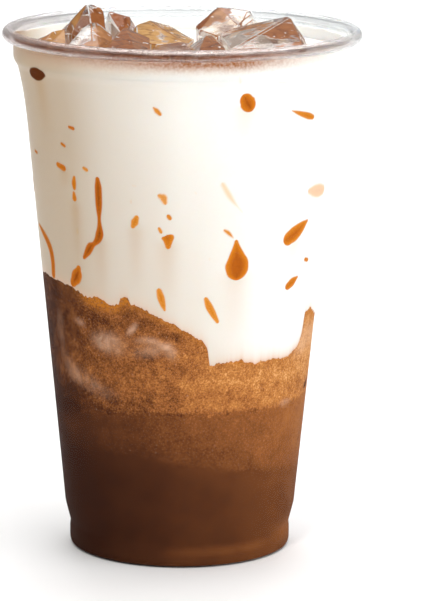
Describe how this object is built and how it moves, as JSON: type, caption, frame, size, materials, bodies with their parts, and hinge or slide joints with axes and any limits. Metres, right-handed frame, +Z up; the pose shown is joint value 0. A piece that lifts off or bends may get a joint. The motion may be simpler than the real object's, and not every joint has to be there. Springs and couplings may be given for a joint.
{
  "type": "iced coffee in a clear cup",
  "caption": "Clear flared cold cup with a rolled rim, filled with brown coffee and cocoa layers, cold milk above them and clear ice chunks at the top.",
  "frame": {"origin": "middle of the standing ring, on the surface that the cup stands on", "axes": "+Z up along the cup's axis, -Y to the front, where the milk's foot drops at the right of the middle, +X to the right"},
  "size_m": [0.098, 0.098, 0.1495],
  "materials": {
    "clear_pet": "clear thermoformed PET, smooth and glossy",
    "dark_coffee": "dark brown coffee seen through the clear wall",
    "mocha": "mid-brown coffee with fine paler grains",
    "cocoa": "golden brown, grainy cocoa and coffee foam",
    "milk": "cold creamy milk, opaque",
    "ice": "clear broken ice, wet, tinted brown by the coffee"
  },
  "bodies": {
    "root": {"cup": "clear_pet", "dark_coffee": "dark_coffee", "mocha_layer": "mocha", "cocoa_layer": "cocoa", "milk": "milk", "ice_right": "ice", "ice_tall": "ice", "ice_left": "ice", "ice_front": "ice", "ice_block": "ice", "ice_middle": "ice", "ice_amber": "ice", "ice_back": "ice", "ice_wedge": "ice", "ice_low": "ice"}
  },
  "joints": []
}
